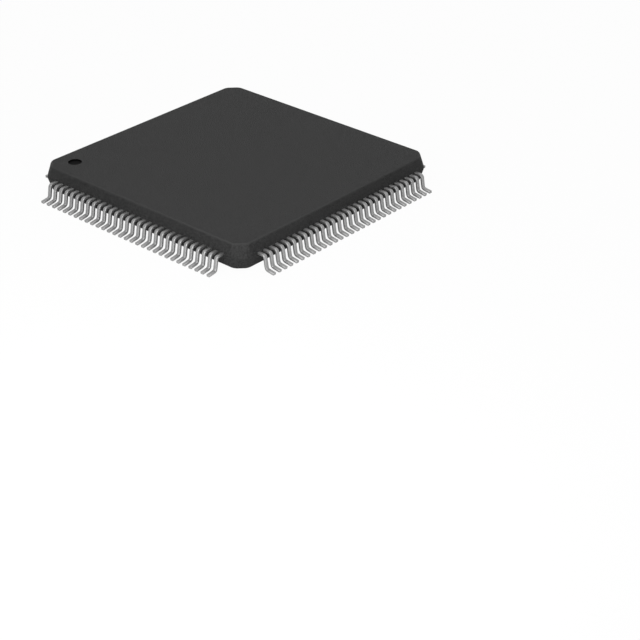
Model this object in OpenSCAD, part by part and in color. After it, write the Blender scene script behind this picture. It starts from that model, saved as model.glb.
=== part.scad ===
// Integrated circuit in a low quad flat package with gull-wing leads on all four sides.
// The origin is the middle of the seating plane that the lead tips stand on, and +Z is up.
// Pin 1 is by the corner towards -X and +Y, and the pins count counter-clockwise from above.

/* [Body] */
// Side of the square body at the parting line
body_side = 14; // [10:0.1:20]
// Thickness of the body
body_t = 1.35; // [1.2:0.01:2]
// Height of the body's underside above the seating plane
standoff = 0.145; // [0.05:0.005:0.25]
// Height of the parting line above the underside
parting_h = 0.675; // [0.6:0.005:0.75]
// Draft of the sides above the parting line, in degrees
upper_draft = 10.5; // [5:0.5:15]
// Draft of the sides below the parting line, in degrees
lower_draft = 13.5; // [5:0.5:15]
// Draft of the corner chamfers, in degrees
corner_draft = 17.5; // [5:0.5:20]
// Leg of the corner chamfers at the parting line
corner_chamfer = 0.5; // [0.3:0.05:0.8]
// Width of the bevel round the top face and the underside
edge_bevel = 0.08; // [0.02:0.01:0.12]

/* [Pin 1 mark] */
// Diameter of the round mark
mark_d = 0.7; // [0.4:0.05:1.4]
// Depth of the mark
mark_depth = 0.06; // [0.02:0.01:0.12]
// Distance from the mark's centre to the body's left side
mark_left = 1.3; // [1:0.02:3]
// Distance from the mark's centre to the body's back side
mark_back = 1.2; // [1:0.02:3]

/* [Leads] */
// Distance between neighbouring leads
pitch = 0.4; // [0.35:0.01:0.8]
// Least distance from the body's corner to the middle of the first lead
corner_keepout = 1.2; // [1.1:0.05:2]
// Width of a lead outside the body
lead_w = 0.175; // [0.13:0.005:0.2]
// Thickness of the sheet that leads and paddle are stamped from
lead_t = 0.127; // [0.1:0.001:0.16]
// Distance from the body's side to the lead tips
lead_reach = 1.0; // [0.9:0.01:1.6]
// Length of the straight foot
foot_l = 0.38; // [0.25:0.01:0.45]
// Slope of the foot down towards its tip, in degrees
foot_slope = 8; // [0:0.5:9]
// Slope of the riser from the shoulder to the foot, in degrees
riser_slope = 81; // [70:0.5:88]
// Radius on the inside of both bends
bend_r = 0.09; // [0.08:0.005:0.12]
// Straight length of a lead inside the body, before it fans in
anchor_l = 0.6; // [0.4:0.05:1]
// Width of a lead at its inner tip
tip_w = 0.12; // [0.08:0.005:0.14]
// Distance from the paddle's edge to the inner tips
tip_gap = 0.6; // [0.4:0.05:0.9]
// Distance along the row of tips from the outermost tip to the diagonal
tip_corner = 0.45; // [0.4:0.05:0.8]

/* [Die and paddle] */
// Side of the die
die_side = 5.2; // [3:0.1:5.8]
// Thickness of the die
die_t = 0.3; // [0.15:0.01:0.35]
// Thickness of the glue under the die
attach_t = 0.03; // [0.02:0.005:0.05]
// Side of the paddle
paddle_side = 6.6; // [6:0.1:7.4]
// How far the paddle is set down below the leads
downset = 0.25; // [0.15:0.01:0.3]
// Width of the tie bars
tie_w = 0.3; // [0.2:0.02:0.36]
// Flat length of a tie bar between the paddle's corner and its bend
tie_flat = 0.2; // [0.1:0.05:0.4]
// Compound that covers the ends of the tie bars
tie_cover = 0.2; // [0.1:0.05:0.4]

/* [Bond wires] */
// Thickness of a wire
wire_d = 0.025; // [0.018:0.001:0.04]
// Height of the wire loops above the die
loop_h = 0.15; // [0.1:0.01:0.18]
// How far the loops run level past the die's edge
loop_over = 0.15; // [0.05:0.01:0.3]
// Distance from the die's edge to the middle of its pads
pad_inset = 0.12; // [0.08:0.01:0.2]
// Distance along the die's edge from its corner to the first pad
pad_corner = 0.4; // [0.3:0.05:0.6]
// Distance from a lead's inner tip to the bond
stitch_inset = 0.12; // [0.08:0.01:0.2]
// Length of the bond on the lead
stitch_l = 0.08; // [0.05:0.01:0.12]

/* [Hidden] */
// How far a cutting shape reaches past what it cuts
overcut = 0.2;
// Flat steps in each bend of a lead
bend_steps = 6;
$fn = 64;

body_top = standoff + body_t;
parting_z = standoff + parting_h;
body_half = body_side / 2;
chamfer_half = (body_side - corner_chamfer) / sqrt(2);

lead_span = body_side + 2 * lead_reach;
leads_per_side = floor((body_side - 2 * corner_keepout) / pitch + 1e-6) + 1;
middle_lead = (leads_per_side - 1) / 2;
row_w = 2 * body_half;
lead_top = parting_z + lead_t / 2;
tip_x = paddle_side / 2 + tip_gap;
tip_pitch = (tip_x - tip_corner) / middle_lead;
fan_x = body_half - anchor_l;

paddle_z = lead_top - downset - lead_t;
attach_z = paddle_z + lead_t;
die_z = attach_z + attach_t;
die_top = die_z + die_t;
pad_x = die_side / 2 - pad_inset;
pad_pitch = (die_side / 2 - pad_corner) / middle_lead;
stitch_x = tip_x + stitch_inset;

function leg(angle) = [cos(angle), sin(angle)];

function arc(centre, r, from, to) =
    [for (i = [0 : bend_steps]) centre + r * leg(from + (to - from) * i / bend_steps)];

// Unit vector to the left of the step from a to b
function left_of(a, b) = [a[1] - b[1], b[0] - a[0]] / norm(b - a);

// Point i of a path, moved to the left by s along the mitre of its two steps
function beside(path, i, s) =
    let (
        last = len(path) - 1,
        before = left_of(path[max(i - 1, 0)], path[max(i, 1)]),
        after = left_of(path[min(i, last - 1)], path[min(i + 1, last)]),
        mitre = before + after
    )
    path[i] + mitre * 2 * s / (mitre * mitre);

// Outline of a strip of thickness t that follows a path
function strip(path, t) = concat(
    [for (i = [0 : len(path) - 1]) beside(path, i, t / 2)],
    [for (i = [len(path) - 1 : -1 : 0]) beside(path, i, -t / 2)]
);

// Middle line of a lead seen from the side, worked out from the tip of the foot inwards
function lead_path() =
    let (
        r = bend_r + lead_t / 2,
        foot_up = leg(90 - foot_slope),
        riser_up = leg(90 - riser_slope),
        toe = [lead_span / 2 - lead_t / 2 * sin(foot_slope), lead_t / 2 * cos(foot_slope)],
        heel = toe - foot_l * leg(-foot_slope),
        low_centre = heel + r * foot_up,
        riser_low = low_centre - r * riser_up,
        riser_high_z = parting_z - r + r * riser_up[1],
        riser_run = (riser_high_z - riser_low[1]) / tan(riser_slope),
        high_centre = [riser_low[0] - riser_run - r * riser_up[0], parting_z - r]
    )
    concat(
        [[tip_x, parting_z]],
        arc(high_centre, r, 90, 90 - riser_slope),
        arc(low_centre, r, 270 - riser_slope, 270 - foot_slope),
        [toe]
    );

// Middle line of a bond wire seen from the side, from the die's pad to the lead
function wire_path() =
    let (
        loop_z = die_top + loop_h,
        bond_z = lead_top + wire_d / 2
    )
    [
        [pad_x, die_top],
        [pad_x, loop_z],
        [die_side / 2 + loop_over, loop_z],
        [stitch_x, bond_z],
        [stitch_x + stitch_l, bond_z]
    ];

// Middle line of a tie bar seen from the side, from inside the paddle to near the body's corner
function tie_path() =
    let (
        low_z = paddle_z + lead_t / 2,
        paddle_corner = paddle_side / 2 * sqrt(2),
        bend_x = paddle_corner + tie_flat
    )
    [
        [paddle_corner - tie_w, low_z],
        [bend_x, low_z],
        [bend_x + downset, parting_z],
        [chamfer_half - tie_cover, parting_z]
    ];

// Where lead i of a row lies across the row, at distance x from the middle of the part
function lead_y(i, x) =
    let (inward = (fan_x - min(x, fan_x)) / (fan_x - tip_x))
    (i - middle_lead) * (pitch + (tip_pitch - pitch) * inward);

// A strip that follows a side view's path, as wide as w
module formed_strip(path, t, w) {
    rotate([90, 0, 0])
        linear_extrude(height = w, center = true)
            polygon(strip(path, t));
}

// The stamped outline of a row of leads on the +X side
module lead_outlines() {
    outer_x = lead_span / 2 + overcut;
    for (i = [0 : leads_per_side - 1]) {
        tip_y = lead_y(i, tip_x);
        y = lead_y(i, fan_x);
        polygon([
            [tip_x, tip_y - tip_w / 2],
            [fan_x, y - lead_w / 2],
            [outer_x, y - lead_w / 2],
            [outer_x, y + lead_w / 2],
            [fan_x, y + lead_w / 2],
            [tip_x, tip_y + tip_w / 2]
        ]);
    }
}

// A row of leads on the +X side: stamped to its outline, then formed to a gull wing
module lead_row() {
    intersection() {
        formed_strip(lead_path(), lead_t, row_w);
        translate([0, 0, -overcut])
            linear_extrude(height = lead_top + 2 * overcut)
                lead_outlines();
    }
}

// A row of bond wires on the +X side
module wire_row() {
    bond_end = stitch_x + stitch_l;
    intersection() {
        formed_strip(wire_path(), wire_d, row_w);
        translate([0, 0, lead_top - overcut])
            linear_extrude(height = body_top - lead_top)
                for (i = [0 : leads_per_side - 1]) {
                    pad = [pad_x, (i - middle_lead) * pad_pitch];
                    bond = [bond_end, lead_y(i, bond_end)];
                    reach = (bond - pad) / norm(bond - pad) * wire_d;
                    polygon(strip([pad - reach, bond + reach], wire_d));
                }
    }
}

// A prism along Y with the drafted section of the body, w wide each way at the parting line
module drafted_prism(w, above, below) {
    upper_h = body_t - parting_h - edge_bevel;
    lower_h = parting_h - edge_bevel;
    upper_w = w - upper_h * tan(above);
    lower_w = w - lower_h * tan(below);
    right = [
        [lower_w - edge_bevel, standoff],
        [lower_w, parting_z - lower_h],
        [w, parting_z],
        [upper_w, parting_z + upper_h],
        [upper_w - edge_bevel, body_top]
    ];
    left = [for (i = [len(right) - 1 : -1 : 0]) [-right[i][0], right[i][1]]];
    rotate([90, 0, 0])
        linear_extrude(height = 2 * body_side, center = true)
            polygon(concat(right, left));
}

// The outside of the body, before the leads and the die are moulded in
module moulded_block() {
    intersection() {
        drafted_prism(body_half, upper_draft, lower_draft);
        rotate(90) drafted_prism(body_half, upper_draft, lower_draft);
        rotate(45) drafted_prism(chamfer_half, corner_draft, corner_draft);
        rotate(135) drafted_prism(chamfer_half, corner_draft, corner_draft);
    }
}

module pin_1_mark() {
    translate([mark_left - body_half, body_half - mark_back, body_top - mark_depth])
        cylinder(d = mark_d, h = mark_depth + overcut);
}

module package_body() {
    color([0.24, 0.24, 0.25])
        difference() {
            moulded_block();
            pin_1_mark();
            translate([0, 0, parting_z - lead_t / 2])
                linear_extrude(height = lead_t)
                    for (turn = [0 : 90 : 270]) rotate(turn) lead_outlines();
            for (turn = [0 : 90 : 270]) rotate(turn) wire_row();
            die_paddle();
            die_attach();
            die();
        }
}

module leads(turn) {
    color([0.78, 0.79, 0.8]) rotate(turn) lead_row();
}

module die_paddle() {
    color([0.72, 0.45, 0.3]) {
        translate([-paddle_side / 2, -paddle_side / 2, paddle_z])
            cube([paddle_side, paddle_side, lead_t]);
        for (turn = [45 : 90 : 315])
            rotate(turn) formed_strip(tie_path(), lead_t, tie_w);
    }
}

module die_attach() {
    color([0.6, 0.6, 0.62])
        translate([-die_side / 2, -die_side / 2, attach_z])
            cube([die_side, die_side, attach_t]);
}

module die() {
    color([0.35, 0.37, 0.42])
        translate([-die_side / 2, -die_side / 2, die_z])
            cube([die_side, die_side, die_t]);
}

module bond_wires(turn) {
    color([0.9, 0.72, 0.3]) rotate(turn) wire_row();
}

package_body();
leads(180);  // leads_left
leads(270);  // leads_front
leads(0);  // leads_right
leads(90);  // leads_back
die_paddle();
die_attach();
die();
bond_wires(180);  // bond_wires_left
bond_wires(270);  // bond_wires_front
bond_wires(0);  // bond_wires_right
bond_wires(90);  // bond_wires_back
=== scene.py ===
from math import cos, pi, radians, sin, tan

import bmesh
import bpy
from bpy.props import FloatProperty, FloatVectorProperty, IntProperty, PointerProperty
from mathutils import Euler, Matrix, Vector


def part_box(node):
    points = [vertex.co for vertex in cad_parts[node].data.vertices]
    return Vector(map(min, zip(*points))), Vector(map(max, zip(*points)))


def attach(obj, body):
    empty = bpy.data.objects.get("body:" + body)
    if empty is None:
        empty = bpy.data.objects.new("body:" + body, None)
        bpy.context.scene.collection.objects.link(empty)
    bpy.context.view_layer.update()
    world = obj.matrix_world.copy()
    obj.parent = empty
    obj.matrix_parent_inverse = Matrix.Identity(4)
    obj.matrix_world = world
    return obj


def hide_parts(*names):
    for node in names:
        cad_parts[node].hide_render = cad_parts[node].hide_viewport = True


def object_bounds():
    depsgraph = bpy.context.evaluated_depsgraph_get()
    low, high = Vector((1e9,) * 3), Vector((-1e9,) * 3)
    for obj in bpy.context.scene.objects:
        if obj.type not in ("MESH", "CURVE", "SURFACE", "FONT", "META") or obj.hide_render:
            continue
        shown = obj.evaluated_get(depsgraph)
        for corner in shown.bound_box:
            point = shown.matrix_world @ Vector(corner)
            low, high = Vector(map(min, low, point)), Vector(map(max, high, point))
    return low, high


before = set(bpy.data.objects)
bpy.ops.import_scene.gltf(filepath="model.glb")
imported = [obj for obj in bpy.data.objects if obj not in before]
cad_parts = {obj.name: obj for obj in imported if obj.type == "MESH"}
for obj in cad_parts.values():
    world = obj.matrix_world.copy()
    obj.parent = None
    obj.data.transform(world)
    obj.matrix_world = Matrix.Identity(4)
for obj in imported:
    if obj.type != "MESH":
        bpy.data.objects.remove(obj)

bl_info = {
    "name": "Quad Flat Chip",
    "version": (1, 0, 0),
    "blender": (4, 5, 0),
    "location": "3D View > Sidebar > Chip",
    "description": "Models a moulded chip with a row of gull-wing leads on each of its four sides",
    "category": "Add Mesh",
}

MM = 0.001
CAD_LOW, CAD_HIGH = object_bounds()
BODY_LOW, BODY_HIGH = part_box("package_body")
ROW_LOW, ROW_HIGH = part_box("leads_right")
LEAD_THICKNESS = 0.127 * MM

# How far a point may be off a level or a place and still count as on it
SLACK = 0.001 * MM

# Turn of each row about the upright axis, from the row on the +X side
ROW_TURNS = {"right": 0.0, "back": pi / 2, "left": pi, "front": 3 * pi / 2}

# Faces along the rounded edges of the body and of its pin-1 recess
CORNER_STEPS = 6
RIM_STEPS = 4
MARK_SIDES = 48
MARK_RIM_STEPS = 2

# Edges that turn by less than this are shaded smooth
BODY_SMOOTH = radians(50)
LEAD_SMOOTH = radians(60)

# Material slot of the body that holds the floor of the recess
MARK_SLOT = 1

# Side of the floor in metres
FLOOR_SIZE = 4.0


def length(name, description, default):
    """A size in metres that a user can change."""
    return FloatProperty(name=name, description=description, default=default,
                         unit="LENGTH", subtype="DISTANCE", precision=6)


def angle(name, description, default):
    """An angle that a user can change, given in degrees."""
    return FloatProperty(name=name, description=description, default=radians(default),
                         unit="ROTATION", subtype="ANGLE")


def share(name, description, default):
    """A share from 0 to 1 that a user can change."""
    return FloatProperty(name=name, description=description, default=default,
                         min=0.0, max=1.0, subtype="FACTOR")


def place(name, description, default):
    """A place that a user can change, given in millimetres."""
    return FloatVectorProperty(name=name, description=description, size=3,
                               default=tuple(value * MM for value in default),
                               unit="LENGTH", subtype="XYZ")


def colour(name, description, default):
    """A colour that a user can change."""
    return FloatVectorProperty(name=name, description=description, default=default,
                               size=3, min=0.0, max=1.0, subtype="COLOR")


def grey(name, description, default):
    """A neutral colour that a user can change."""
    return colour(name, description, (default, default, default))


class BodySizes(bpy.types.PropertyGroup):
    """Sizes of the moulded body."""
    side: length("Side", "Width across the parting plane", BODY_HIGH.x - BODY_LOW.x)
    parting: length("Parting Height", "Height of the plane where the mould halves meet",
                    ROW_HIGH.z - LEAD_THICKNESS / 2)
    upper_draft: angle("Upper Draft", "Slope of the sides above the parting plane", 10.5)
    lower_draft: angle("Lower Draft", "Slope of the sides below the parting plane", 13.5)
    corner_draft: angle("Corner Draft", "Slope of the flats across the corners", 17.5)
    corner_cut: length("Corner Cut", "Leg of the flat across each corner", 0.5 * MM)
    corner_round: length("Corner Round", "How far the ends of a corner flat are rounded", 0.18 * MM)
    rim_round: length("Rim Round", "How far the top and bottom edges are rounded", 0.1 * MM)
    mark_width: length("Mark Width", "Diameter of the pin-1 recess", 0.7 * MM)
    mark_depth: length("Mark Depth", "Depth of the pin-1 recess", 0.06 * MM)
    mark_left: length("Mark Left", "From the left side to the middle of the recess", 1.3 * MM)
    mark_back: length("Mark Back", "From the back side to the middle of the recess", 1.2 * MM)
    mark_rim: length("Mark Rim", "How far the recess's edge is rounded", 0.012 * MM)


class LeadSizes(bpy.types.PropertyGroup):
    """Sizes of one lead and of the rows."""
    count: IntProperty(name="Leads", description="Leads in each row", default=30, min=2)
    width: length("Width", "Width of a lead", 0.175 * MM)
    thickness: length("Thickness", "Thickness of the strip", LEAD_THICKNESS)
    edge_round: length("Edge Round", "How far a lead's long edges are rounded", 0.012 * MM)
    bend_radius: length("Bend Radius", "Inside radius of the bends", 0.09 * MM)
    riser_slope: angle("Riser Slope", "Slope of the riser", 81)
    foot_slope: angle("Foot Slope", "Fall of the foot towards its toe", 8)
    foot: length("Foot", "Straight length of the foot", 0.38 * MM)
    anchor: length("Anchor", "Straight length of a lead inside the body's side", 0.6 * MM)
    tip_width: length("Tip Width", "Width of a lead's inner tip", 0.12 * MM)
    tip_corner: length("Tip Corner", "From the last inner tip of a row to the corner", 0.45 * MM)
    bend_steps: IntProperty(name="Bend Steps", description="Faces along each bend", default=5, min=2)


class Finishes(bpy.types.PropertyGroup):
    """Colours of the pieces."""
    compound: grey("Compound", "Black moulding compound", 0.008)
    filler: grey("Filler", "Grains of filler in the compound", 0.036)
    # Painted highlight: lighter compound along the rims, where light catches the rounded edges
    rim: grey("Rim", "Compound that is rubbed along the rims", 0.045)
    # Dark finish of the pin-1 recess, partly its own, partly painted shade in the recess
    mark: grey("Mark", "Smooth floor of the pin-1 recess", 0.003)
    tin: grey("Tin", "Bright grains of the plating", 0.54)
    dull_tin: grey("Dull Tin", "Dull grains of the plating", 0.42)
    copper: colour("Copper", "Bare copper alloy", (0.62, 0.30, 0.18))
    dark_copper: colour("Dark Copper", "Rolling streaks of the copper", (0.45, 0.20, 0.11))
    glue: grey("Glue", "Silver flakes of the glue", 0.55)
    resin: grey("Resin", "Resin between the flakes", 0.32)
    silicon: colour("Silicon", "Bare silicon", (0.10, 0.11, 0.15))
    circuit: colour("Circuit", "Blocks of the circuit on the silicon", (0.26, 0.27, 0.25))
    gold: colour("Gold", "Bond wires", (0.85, 0.58, 0.20))
    dull_gold: colour("Dull Gold", "Dull grains of the bond wires", (0.66, 0.42, 0.13))


class StageSettings(bpy.types.PropertyGroup):
    """Camera, lights and floor."""
    camera_place: place("Camera Place", "Where the camera stands", (-60.403, -59.245, 40.617))
    camera_turn: FloatVectorProperty(
        name="Camera Turn", description="How the camera is turned", size=3,
        default=(radians(60.118), 0.0, radians(-48.4216)), subtype="EULER")
    lens: FloatProperty(name="Lens", description="Focal length in millimetres", default=103.107,
                        unit="CAMERA")
    floor: grey("Floor", "Colour of the floor", 0.9)
    white_share: share("White Share", "How white the floor and the surroundings look to the camera", 0.96)
    gloss_share: share("Gloss Share", "How white the floor and the surroundings look in reflections", 0.1)
    world_light: FloatProperty(name="World Light", description="Strength of the light from all round",
                               default=0.51)
    world_lean: FloatVectorProperty(
        name="World Lean", description="How much the light from all round grows along each axis",
        size=3, default=(0.31, 0.2, 0.0), subtype="XYZ")
    key_power: FloatProperty(name="Key Power", description="Power of the main lamp", default=0.0097,
                             unit="POWER")
    key_place: place("Key Place", "Where the main lamp hangs", (-28.5, -18.75, 15.75))
    key_size: length("Key Size", "Width of the main lamp", 34.5 * MM)


def begin(name, add_primitive, **options):
    """Add a primitive with its place in its mesh, and open it for editing."""
    bpy.ops.object.select_all(action="DESELECT")
    add_primitive(**options)
    piece = bpy.context.active_object
    piece.name = name
    piece.data.name = name
    bpy.ops.object.transform_apply(location=True, rotation=True, scale=True)
    bpy.ops.object.mode_set(mode="EDIT")
    return piece


def pick(piece, kind, test):
    """Select the vertices, edges or faces of the open piece that pass the test."""
    bpy.ops.mesh.select_mode(type=kind)
    bpy.ops.mesh.select_all(action="DESELECT")
    shape = bmesh.from_edit_mesh(piece.data)
    items = {"VERT": shape.verts, "EDGE": shape.edges, "FACE": shape.faces}[kind]
    found = [item for item in items if test(item)]
    if not found:
        raise RuntimeError(f"{piece.name}: nothing to select")
    for item in found:
        item.select_set(True)
    shape.select_flush_mode()
    bmesh.update_edit_mesh(piece.data)


def lies_at(item, level):
    """Whether an edge or a face lies flat at a level."""
    return all(abs(vert.co.z - level) < SLACK for vert in item.verts)


def extrude(x=0.0, y=0.0, z=0.0):
    """Pull the selected faces out by a step."""
    bpy.ops.mesh.extrude_region_move(TRANSFORM_OT_translate={"value": (x, y, z)})


def apply_modifier(piece, kind, **settings):
    """Put a modifier on the piece and apply it."""
    modifier = piece.modifiers.new(kind.title(), kind)
    for key, value in settings.items():
        setattr(modifier, key, value)
    bpy.context.view_layer.objects.active = piece
    bpy.ops.object.modifier_apply(modifier=modifier.name)


def seat(piece, node):
    """Let the finished piece stand for its node."""
    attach(piece, "root")
    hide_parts(node)


def add_node(tree, kind, values=None, **settings):
    """Add a shader node with its settings and the values of its sockets."""
    node = tree.nodes.new(kind)
    for key, value in settings.items():
        setattr(node, key, value)
    for socket, value in (values or {}).items():
        node.inputs[socket].default_value = value
    return node


def grain_group():
    """Shader group: random grains of a given size, as a mask from 0 to 1."""
    name = "fine_grain"
    if name in bpy.data.node_groups:
        return bpy.data.node_groups[name]
    tree = bpy.data.node_groups.new(name, "ShaderNodeTree")
    size = tree.interface.new_socket("Grain Size", in_out="INPUT", socket_type="NodeSocketFloat")
    size.default_value = 0.05 * MM
    contrast = tree.interface.new_socket("Contrast", in_out="INPUT", socket_type="NodeSocketFloat")
    contrast.default_value = 1.0
    tree.interface.new_socket("Mask", in_out="OUTPUT", socket_type="NodeSocketFloat")
    entry = add_node(tree, "NodeGroupInput")
    leave = add_node(tree, "NodeGroupOutput")
    spot = add_node(tree, "ShaderNodeTexCoord")
    scale = add_node(tree, "ShaderNodeMath", {0: 1.0}, operation="DIVIDE")
    noise = add_node(tree, "ShaderNodeTexNoise", {"Detail": 2.0, "Roughness": 0.6})
    middle = add_node(tree, "ShaderNodeMath", {1: 0.5}, operation="SUBTRACT")
    spread = add_node(tree, "ShaderNodeMath", {2: 0.5}, operation="MULTIPLY_ADD", use_clamp=True)
    tree.links.new(entry.outputs["Grain Size"], scale.inputs[1])
    tree.links.new(spot.outputs["Object"], noise.inputs["Vector"])
    tree.links.new(scale.outputs[0], noise.inputs["Scale"])
    tree.links.new(noise.outputs["Fac"], middle.inputs[0])
    tree.links.new(middle.outputs[0], spread.inputs[0])
    tree.links.new(entry.outputs["Contrast"], spread.inputs[1])
    tree.links.new(spread.outputs[0], leave.inputs["Mask"])
    return tree


def grain(tree, size, contrast):
    """Place the grain group with its own values, and give its mask."""
    group = add_node(tree, "ShaderNodeGroup", node_tree=grain_group())
    group.inputs["Grain Size"].default_value = size
    group.inputs["Contrast"].default_value = contrast
    return group.outputs["Mask"]


def blend_colours(tree, mask, first, second):
    """Mix two colours by a mask, where a colour may come from another node."""
    mix = add_node(tree, "ShaderNodeMix", data_type="RGBA")
    tree.links.new(mask, mix.inputs["Factor"])
    for socket, source in (("A", first), ("B", second)):
        if isinstance(source, bpy.types.NodeSocket):
            tree.links.new(source, mix.inputs[socket])
        else:
            mix.inputs[socket].default_value = (*source, 1.0)
    return mix.outputs["Result"]


def between(tree, mask, low, high):
    """Spread a mask from 0 to 1 over a range of values."""
    spread = add_node(tree, "ShaderNodeMapRange", {"To Min": low, "To Max": high})
    tree.links.new(mask, spread.inputs["Value"])
    return spread.outputs["Result"]


def bump(tree, mask, depth):
    """Surface relief of a given depth."""
    relief = add_node(tree, "ShaderNodeBump", {"Strength": 1.0, "Distance": depth})
    tree.links.new(mask, relief.inputs["Height"])
    return relief.outputs["Normal"]


def painted_rim_highlight(tree):
    """Mask of a painted highlight along the rims, which grows from the sides upwards and ends where the
    top is flat; it also lightens the corner flats a little.
    """
    surface = add_node(tree, "ShaderNodeNewGeometry")
    parts = add_node(tree, "ShaderNodeSeparateXYZ")
    off_side = add_node(tree, "ShaderNodeMapRange", {"From Min": 0.25, "From Max": 0.9})
    off_top = add_node(tree, "ShaderNodeMapRange", {"From Min": 1.0, "From Max": 0.95})
    both = add_node(tree, "ShaderNodeMath", operation="MULTIPLY")
    tree.links.new(surface.outputs["Normal"], parts.inputs[0])
    for socket, mask in zip(both.inputs, (off_side, off_top)):
        tree.links.new(parts.outputs["Z"], mask.inputs["Value"])
        tree.links.new(mask.outputs["Result"], socket)
    return both.outputs[0]


def new_material(name, **values):
    """A material with one Principled shader, the values set on its own sockets."""
    material = bpy.data.materials.new(name)
    material.use_nodes = True
    shader = material.node_tree.nodes["Principled BSDF"]
    for socket, value in values.items():
        shader.inputs[socket.replace("_", " ")].default_value = value
    return material, material.node_tree, shader


def feed(tree, shader, **sources):
    """Link computed values to the shader's sockets."""
    for socket, source in sources.items():
        tree.links.new(source, shader.inputs[socket.replace("_", " ")])


def mould_compound(finish):
    """Matte black epoxy with the fine texture of a spark-eroded mould, and a painted highlight along its
    rims.
    """
    material, tree, shader = new_material("mould_compound", Specular_IOR_Level=0.26)
    specks = grain(tree, size=0.07 * MM, contrast=3.5)
    texture = grain(tree, size=0.06 * MM, contrast=3.0)
    grainy = blend_colours(tree, specks, finish.compound, finish.filler)
    # The base colour holds a painted highlight along the rims, lighter where the surface turns from top
    # to side
    feed(tree, shader,
         Base_Color=blend_colours(tree, painted_rim_highlight(tree), grainy, finish.rim),
         Roughness=between(tree, specks, low=0.5, high=0.68),
         Normal=bump(tree, texture, depth=0.018 * MM))
    return material


def mark_floor(finish):
    """Smooth floor and walls of the pin-1 recess: their own dark finish, coloured darker still as painted
    shade in the recess.
    """
    material, tree, shader = new_material("mark_floor", Specular_IOR_Level=0.02)
    specks = grain(tree, size=0.05 * MM, contrast=1.0)
    # Painted shade: the recess is coloured darker than the compound around it
    darker = [0.5 * level for level in finish.mark]
    feed(tree, shader,
         Base_Color=blend_colours(tree, specks, darker, finish.mark),
         Roughness=between(tree, specks, low=0.4, high=0.5))
    return material


def tin_plating(finish):
    """Matte tin with a fine crystalline grain."""
    material, tree, shader = new_material("tin_plating", Metallic=1.0)
    crystals = grain(tree, size=0.03 * MM, contrast=1.5)
    feed(tree, shader,
         Base_Color=blend_colours(tree, crystals, finish.dull_tin, finish.tin),
         Roughness=between(tree, crystals, low=0.4, high=0.54),
         Normal=bump(tree, crystals, depth=0.001 * MM))
    return material


def bare_copper(finish):
    """Rolled copper alloy."""
    material, tree, shader = new_material("bare_copper", Metallic=1.0)
    streaks = grain(tree, size=0.08 * MM, contrast=1.4)
    feed(tree, shader,
         Base_Color=blend_colours(tree, streaks, finish.dark_copper, finish.copper),
         Roughness=between(tree, streaks, low=0.3, high=0.42))
    return material


def silver_glue(finish):
    """Glue filled with silver flakes."""
    material, tree, shader = new_material("silver_glue")
    flakes = grain(tree, size=0.02 * MM, contrast=2.5)
    feed(tree, shader,
         Base_Color=blend_colours(tree, flakes, finish.resin, finish.glue),
         Metallic=flakes,
         Roughness=between(tree, flakes, low=0.6, high=0.4))
    return material


def silicon(finish):
    """Polished silicon with blocks of circuit."""
    material, tree, shader = new_material("silicon")
    block_size = 0.6 * MM
    spot = add_node(tree, "ShaderNodeTexCoord")
    blocks = add_node(tree, "ShaderNodeTexVoronoi", {"Scale": 1.0 / block_size}, distance="CHEBYCHEV")
    tree.links.new(spot.outputs["Object"], blocks.inputs["Vector"])
    polish = grain(tree, size=0.05 * MM, contrast=1.0)
    feed(tree, shader,
         Base_Color=blend_colours(tree, blocks.outputs["Color"], finish.silicon, finish.circuit),
         Roughness=between(tree, polish, low=0.12, high=0.22))
    return material


def gold_wire(finish):
    """Bright drawn gold."""
    material, tree, shader = new_material("gold_wire", Metallic=1.0)
    crystals = grain(tree, size=0.02 * MM, contrast=1.2)
    feed(tree, shader,
         Base_Color=blend_colours(tree, crystals, finish.dull_gold, finish.gold),
         Roughness=between(tree, crystals, low=0.18, high=0.28))
    return material


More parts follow.
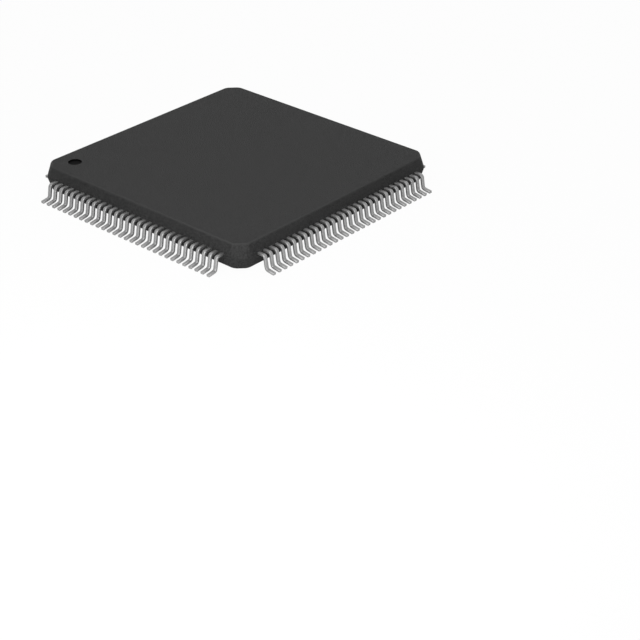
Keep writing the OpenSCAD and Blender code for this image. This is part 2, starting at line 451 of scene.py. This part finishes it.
class CHIP_OT_moulded_body(bpy.types.Operator):
    """Mould the body about its parting plane and sink the pin-1 mark"""
    bl_idname = "chip.moulded_body"
    bl_label = "Moulded Body"

    def execute(self, context):
        sizes = context.scene.chip_body
        finish = context.scene.chip_finishes
        levels = (BODY_LOW.z, sizes.parting, BODY_HIGH.z)
        body = begin("moulded_body", bpy.ops.mesh.primitive_plane_add,
                     **self.plane(sizes, levels[0]))
        self.cut_corners(sizes, levels[0])
        for level in levels[1:]:
            bpy.ops.mesh.select_all(action="DESELECT")
            bpy.ops.mesh.primitive_plane_add(**self.plane(sizes, level))
            self.cut_corners(sizes, level)
        self.join_outlines(body, levels)
        self.round_rims(body, sizes, levels)
        bpy.ops.object.mode_set(mode="OBJECT")
        body.data.materials.append(mould_compound(finish))
        body.data.materials.append(mark_floor(finish))
        self.mark(body, sizes)
        bpy.ops.object.shade_smooth_by_angle(angle=BODY_SMOOTH)
        apply_modifier(body, "WEIGHTED_NORMAL", keep_sharp=True)
        seat(body, "package_body")
        return {"FINISHED"}

    def drawn_in(self, sizes, level):
        """How far the draft draws each side in at a level."""
        draft = sizes.upper_draft if level > sizes.parting else sizes.lower_draft
        return abs(level - sizes.parting) * tan(draft)

    def plane(self, sizes, level):
        """Size and place of the square that holds the body's outline at a level."""
        return {"size": sizes.side - 2 * self.drawn_in(sizes, level), "location": (0, 0, level)}

    def cut_corners(self, sizes, level):
        """Cut the corners of the selected square, and round the ends of the cuts."""
        corner_in = abs(level - sizes.parting) * tan(sizes.corner_draft)
        cut = sizes.corner_cut + 2 ** 0.5 * corner_in - 2 * self.drawn_in(sizes, level)
        bpy.ops.mesh.bevel(offset=cut, segments=1, affect="VERTICES")
        bpy.ops.mesh.bevel(offset=sizes.corner_round, segments=CORNER_STEPS, affect="VERTICES")

    def join_outlines(self, body, levels):
        """Bridge the outlines of the underside, the parting plane and the top."""
        pick(body, "FACE", lambda face: lies_at(face, levels[1]))
        bpy.ops.mesh.delete(type="ONLY_FACE")
        for pair in (levels[:2], levels[1:]):
            pick(body, "EDGE", lambda edge: any(lies_at(edge, level) for level in pair))
            bpy.ops.mesh.bridge_edge_loops()
        bpy.ops.mesh.select_all(action="SELECT")
        bpy.ops.mesh.normals_make_consistent(inside=False)
        pick(body, "EDGE", lambda edge: lies_at(edge, levels[1]))
        bpy.ops.mesh.mark_sharp()

    def round_rims(self, body, sizes, levels):
        """Round the edges of the underside and the top."""
        for level in (levels[0], levels[2]):
            pick(body, "EDGE", lambda edge: lies_at(edge, level))
            bpy.ops.mesh.bevel(offset=sizes.rim_round, segments=RIM_STEPS, affect="EDGES")

    def mark(self, body, sizes):
        """Sink the round pin-1 recess in the top, and round its edge."""
        half = sizes.side / 2
        centre = Vector((sizes.mark_left - half, half - sizes.mark_back, BODY_HIGH.z))
        radius = sizes.mark_width / 2
        cutter = begin("mark_cutter", bpy.ops.mesh.primitive_cylinder_add,
                       vertices=MARK_SIDES, radius=radius, depth=2 * sizes.mark_depth,
                       location=centre)
        bpy.ops.object.mode_set(mode="OBJECT")
        apply_modifier(body, "BOOLEAN", operation="DIFFERENCE", solver="EXACT", object=cutter)
        bpy.data.objects.remove(cutter)
        bpy.ops.object.select_all(action="DESELECT")
        body.select_set(True)
        bpy.ops.object.mode_set(mode="EDIT")

        def on_rim(edge):
            return lies_at(edge, centre.z) and all(
                (vert.co - centre).length < radius + SLACK for vert in edge.verts)

        def in_recess(face):
            middle = face.calc_center_median()
            return (middle - centre).xy.length < radius + SLACK and middle.z < centre.z - SLACK

        pick(body, "EDGE", on_rim)
        bpy.ops.mesh.bevel(offset=sizes.mark_rim, segments=MARK_RIM_STEPS, affect="EDGES")
        pick(body, "FACE", in_recess)
        body.active_material_index = MARK_SLOT
        bpy.ops.object.material_slot_assign()
        bpy.ops.object.mode_set(mode="OBJECT")


class CHIP_OT_lead_rows(bpy.types.Operator):
    """Form one gull-wing lead, repeat it along a side and turn the row to the other sides"""
    bl_idname = "chip.lead_rows"
    bl_label = "Lead Rows"

    def execute(self, context):
        sizes = context.scene.chip_leads
        body = context.scene.chip_body
        fan_x = body.side / 2 - sizes.anchor
        row = begin("lead_row_right", bpy.ops.mesh.primitive_plane_add, size=sizes.thickness,
                    location=(fan_x, 0, body.parting), rotation=(0, pi / 2, 0))
        self.outer_lead(row, sizes, body.parting, fan_x)
        self.inner_lead(row, sizes, fan_x)
        self.repeat(row, sizes)
        bpy.ops.object.shade_smooth_by_angle(angle=LEAD_SMOOTH)
        apply_modifier(row, "WEIGHTED_NORMAL", keep_sharp=True)
        row.data.materials.append(tin_plating(context.scene.chip_finishes))
        rows = {"right": row}
        for side in ("back", "left", "front"):
            rows[side] = self.turned_copy(row, side)
        for side, piece in rows.items():
            seat(piece, f"leads_{side}")
        return {"FINISHED"}

    def outer_lead(self, row, sizes, parting, fan_x):
        """Draw the section out of the body, down to the board and along the foot."""
        half = sizes.thickness / 2
        radius = sizes.bend_radius + half
        foot_up = Vector((sin(sizes.foot_slope), 0, cos(sizes.foot_slope)))
        foot_along = Vector((cos(sizes.foot_slope), 0, -sin(sizes.foot_slope)))
        riser_up = Vector((sin(sizes.riser_slope), 0, cos(sizes.riser_slope)))
        riser_along = Vector((cos(sizes.riser_slope), 0, -sin(sizes.riser_slope)))
        toe = Vector((ROW_HIGH.x - half * foot_up.x, 0, half * foot_up.z))
        heel = toe - sizes.foot * foot_along
        low_centre = heel + radius * foot_up
        riser_low = low_centre - radius * riser_up
        riser_top_z = parting - radius + radius * riser_up.z
        riser = (riser_top_z - riser_low.z) / sin(sizes.riser_slope) * riser_along
        high_centre = riser_low - riser - radius * riser_up

        bpy.ops.mesh.select_all(action="SELECT")
        bpy.ops.transform.resize(value=(1, sizes.width / sizes.thickness, 1))
        bpy.ops.mesh.bevel(offset=sizes.edge_round, segments=1, affect="VERTICES")
        pick(row, "FACE", lambda face: True)
        extrude(x=high_centre.x - fan_x)
        bpy.ops.mesh.spin(steps=sizes.bend_steps, angle=-sizes.riser_slope,
                          center=high_centre, axis=(0, 1, 0))
        extrude(*riser)
        bpy.ops.mesh.spin(steps=sizes.bend_steps, angle=sizes.riser_slope - sizes.foot_slope,
                          center=low_centre, axis=(0, 1, 0))
        bevel = sizes.edge_round / 2
        extrude(*((sizes.foot - bevel) * foot_along))
        bpy.ops.mesh.inset(thickness=bevel, depth=bevel)

    def inner_lead(self, row, sizes, fan_x):
        """Draw the other end in to the tip that the bond wire meets."""
        pick(row, "FACE", lambda face: abs(face.calc_center_median().x - fan_x) < SLACK)
        extrude(x=ROW_LOW.x - fan_x)
        bpy.ops.transform.resize(value=(1, sizes.tip_width / sizes.width / self.fan(sizes), 1))

    def pitch(self, sizes):
        """Distance between two leads of a row outside the body."""
        return (ROW_HIGH.y - ROW_LOW.y - sizes.width) / (sizes.count - 1)

    def fan(self, sizes):
        """How much closer the inner tips of a row are than its leads."""
        tip_pitch = 2 * (ROW_LOW.x - sizes.tip_corner) / (sizes.count - 1)
        return tip_pitch / self.pitch(sizes)

    def repeat(self, row, sizes):
        """Repeat the lead along the row, and draw the inner tips together."""
        bpy.ops.mesh.select_all(action="SELECT")
        bpy.ops.mesh.normals_make_consistent(inside=False)
        bpy.ops.transform.translate(value=(0, ROW_LOW.y + sizes.width / 2, 0))
        bpy.ops.object.mode_set(mode="OBJECT")
        apply_modifier(row, "ARRAY", count=sizes.count, use_relative_offset=False,
                       use_constant_offset=True, constant_offset_displace=(0, self.pitch(sizes), 0))
        bpy.ops.object.mode_set(mode="EDIT")
        pick(row, "VERT", lambda vert: abs(vert.co.x - ROW_LOW.x) < SLACK)
        bpy.ops.transform.resize(value=(1, self.fan(sizes), 1), center_override=(ROW_LOW.x, 0, 0))
        bpy.ops.object.mode_set(mode="OBJECT")

    def turned_copy(self, row, side):
        """Copy the row with its own mesh, turned to another side."""
        bpy.ops.object.select_all(action="DESELECT")
        row.select_set(True)
        bpy.context.view_layer.objects.active = row
        bpy.ops.object.duplicate()
        copy = bpy.context.active_object
        copy.name = f"lead_row_{side}"
        copy.data.name = copy.name
        copy.rotation_euler.z = ROW_TURNS[side]
        bpy.ops.object.transform_apply(location=True, rotation=True, scale=True)
        return copy


class CHIP_OT_inner_parts(bpy.types.Operator):
    """Finish the die, its paddle and glue, and the bond wires"""
    bl_idname = "chip.inner_parts"
    bl_label = "Inner Parts"

    def execute(self, context):
        finish = context.scene.chip_finishes
        wires = [f"bond_wires_{side}" for side in ROW_TURNS]
        for material, nodes in (
            (bare_copper(finish), ["die_paddle"]),
            (silver_glue(finish), ["die_attach"]),
            (silicon(finish), ["die"]),
            (gold_wire(finish), wires),
        ):
            for node in nodes:
                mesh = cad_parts[node].data
                mesh.materials.clear()
                mesh.materials.append(material)
        return {"FINISHED"}


def white_share(tree, settings):
    """How much plain white a ray sees, from the camera, through glass or from gloss."""
    rays = add_node(tree, "ShaderNodeLightPath")
    parts = []
    for ray, amount in (
        ("Is Camera Ray", settings.white_share),
        ("Is Transmission Ray", settings.white_share),
        ("Is Glossy Ray", settings.gloss_share),
    ):
        part = add_node(tree, "ShaderNodeMath", {1: amount}, operation="MULTIPLY")
        tree.links.new(rays.outputs[ray], part.inputs[0])
        parts.append(part.outputs[0])
    most = parts[0]
    for part in parts[1:]:
        larger = add_node(tree, "ShaderNodeMath", operation="MAXIMUM")
        tree.links.new(most, larger.inputs[0])
        tree.links.new(part, larger.inputs[1])
        most = larger.outputs[0]
    return most


class CHIP_OT_stage(bpy.types.Operator):
    """Set up the floor, the light from all round, the main lamp and the camera"""
    bl_idname = "chip.stage"
    bl_label = "Stage"

    def execute(self, context):
        settings = context.scene.chip_stage
        self.floor(settings)
        self.world(context, settings)
        self.lamp(context, settings)
        self.camera(context, settings)
        context.scene.view_settings.view_transform = "Standard"
        return {"FINISHED"}

    def floor(self, settings):
        """A white floor that keeps the shadow of the chip."""
        floor = begin("floor", bpy.ops.mesh.primitive_plane_add, size=FLOOR_SIZE,
                      location=(0, 0, CAD_LOW.z))
        bpy.ops.object.mode_set(mode="OBJECT")
        material = bpy.data.materials.new("floor")
        material.use_nodes = True
        tree = material.node_tree
        tree.nodes.clear()
        leave = add_node(tree, "ShaderNodeOutputMaterial")
        paint = add_node(tree, "ShaderNodeBsdfDiffuse", {"Color": (*settings.floor, 1.0)})
        white = add_node(tree, "ShaderNodeEmission", {"Strength": 1.0})
        mix = add_node(tree, "ShaderNodeMixShader")
        tree.links.new(white_share(tree, settings), mix.inputs[0])
        tree.links.new(paint.outputs[0], mix.inputs[1])
        tree.links.new(white.outputs[0], mix.inputs[2])
        tree.links.new(mix.outputs[0], leave.inputs["Surface"])
        floor.data.materials.append(material)

    def world(self, context, settings):
        """White light from all round, stronger on some sides, which the camera sees as white."""
        world = bpy.data.worlds.new("studio")
        world.use_nodes = True
        tree = world.node_tree
        back = tree.nodes["Background"]
        back.inputs["Color"].default_value = (1.0, 1.0, 1.0, 1.0)
        way = add_node(tree, "ShaderNodeTexCoord")
        lean = add_node(tree, "ShaderNodeVectorMath", {1: settings.world_lean}, operation="DOT_PRODUCT")
        level = add_node(tree, "ShaderNodeMath", {1: settings.world_light}, operation="ADD")
        seen = add_node(tree, "ShaderNodeMix", {"B": 1.0}, data_type="FLOAT")
        tree.links.new(way.outputs["Generated"], lean.inputs[0])
        tree.links.new(lean.outputs["Value"], level.inputs[0])
        tree.links.new(white_share(tree, settings), seen.inputs["Factor"])
        tree.links.new(level.outputs[0], seen.inputs["A"])
        tree.links.new(seen.outputs["Result"], back.inputs["Strength"])
        context.scene.world = world

    def lamp(self, context, settings):
        """A broad soft lamp in front of the chip."""
        spot = Vector(settings.key_place)
        light = bpy.data.lights.new("key_lamp", "AREA")
        light.energy = settings.key_power
        light.shape = "DISK"
        light.size = settings.key_size
        lamp = bpy.data.objects.new("key_lamp", light)
        lamp.location = spot
        lamp.rotation_euler = (-spot).to_track_quat("-Z", "Y").to_euler()
        lamp.visible_camera = False
        context.scene.collection.objects.link(lamp)

    def camera(self, context, settings):
        """The camera at the photograph's viewing angle."""
        view = bpy.data.cameras.new("camera")
        view.lens = settings.lens
        view.clip_start = 1 * MM
        camera = bpy.data.objects.new("camera", view)
        camera.location = settings.camera_place
        camera.rotation_euler = Euler(settings.camera_turn)
        context.scene.collection.objects.link(camera)
        context.scene.camera = camera


class CHIP_PT_panel(bpy.types.Panel):
    """The steps that make the chip, in order"""
    bl_idname = "CHIP_PT_panel"
    bl_label = "Quad Flat Chip"
    bl_space_type = "VIEW_3D"
    bl_region_type = "UI"
    bl_category = "Chip"

    def draw(self, context):
        for group, step in (
            ("chip_body", CHIP_OT_moulded_body),
            ("chip_leads", CHIP_OT_lead_rows),
            ("chip_finishes", CHIP_OT_inner_parts),
            ("chip_stage", CHIP_OT_stage),
        ):
            box = self.layout.box()
            settings = getattr(context.scene, group)
            for name in settings.__annotations__:
                box.prop(settings, name)
            box.operator(step.bl_idname)


GROUPS = {
    "chip_body": BodySizes,
    "chip_leads": LeadSizes,
    "chip_finishes": Finishes,
    "chip_stage": StageSettings,
}
CLASSES = (
    *GROUPS.values(),
    CHIP_OT_moulded_body,
    CHIP_OT_lead_rows,
    CHIP_OT_inner_parts,
    CHIP_OT_stage,
    CHIP_PT_panel,
)


def register():
    for item in CLASSES:
        bpy.utils.register_class(item)
    for name, group in GROUPS.items():
        setattr(bpy.types.Scene, name, PointerProperty(type=group))


def unregister():
    for name in GROUPS:
        delattr(bpy.types.Scene, name)
    for item in reversed(CLASSES):
        bpy.utils.unregister_class(item)


def main():
    register()
    bpy.ops.chip.moulded_body()
    bpy.ops.chip.lead_rows()
    bpy.ops.chip.inner_parts()
    bpy.ops.chip.stage()


if __name__ == "__main__":
    main()
